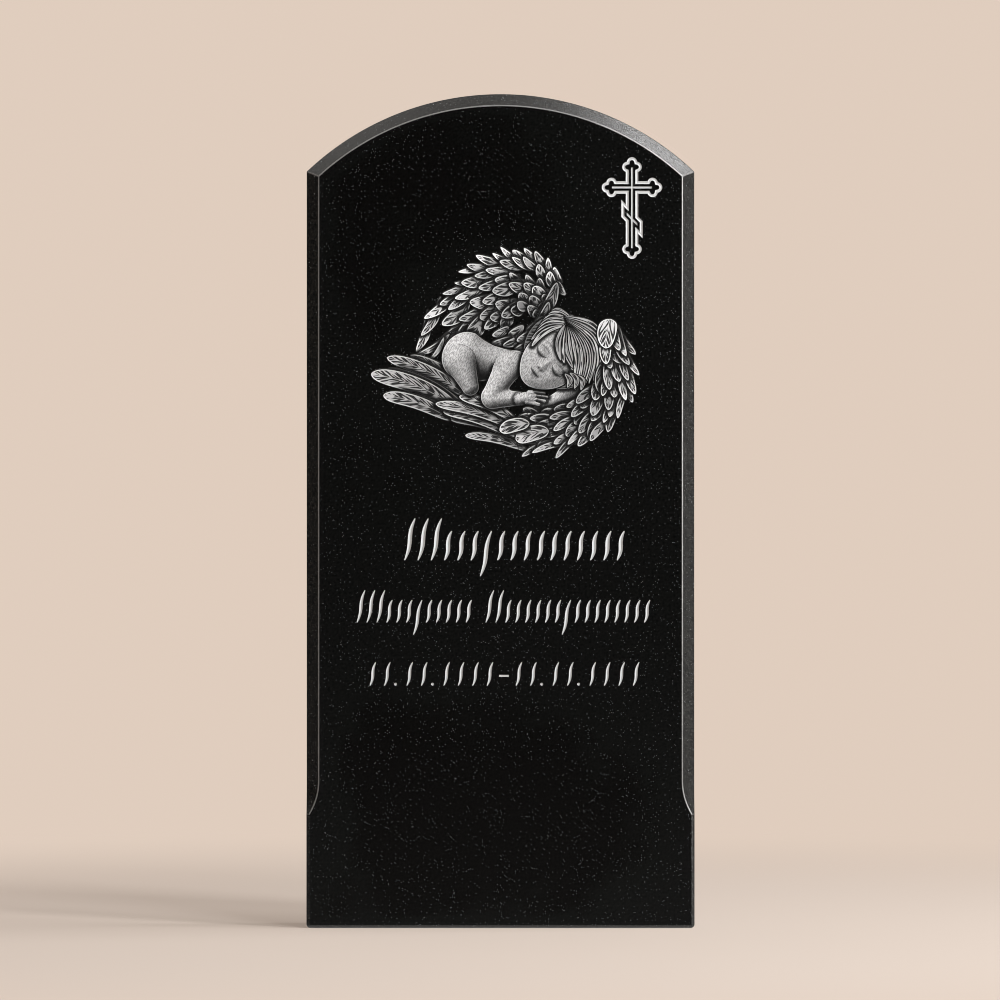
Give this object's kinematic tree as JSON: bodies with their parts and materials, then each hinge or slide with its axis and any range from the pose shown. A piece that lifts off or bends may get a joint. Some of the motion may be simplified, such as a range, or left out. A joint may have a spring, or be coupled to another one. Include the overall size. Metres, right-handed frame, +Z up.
{
  "type": "headstone",
  "caption": "Upright slab headstone of polished black granite with an arched head, stopped chamfers, a cut picture, a budded cross and rows of plain strokes.",
  "frame": {"origin": "middle of the underside, where the slab stands", "axes": "+Z up, the polished face towards -Y, +X to the right of someone who looks at the face"},
  "size_m": [0.4, 0.08, 0.86],
  "materials": {
    "granite": "polished face, honed chamfers, sawn back and underside"
  },
  "bodies": {
    "root": {"headstone": "granite"}
  },
  "joints": []
}
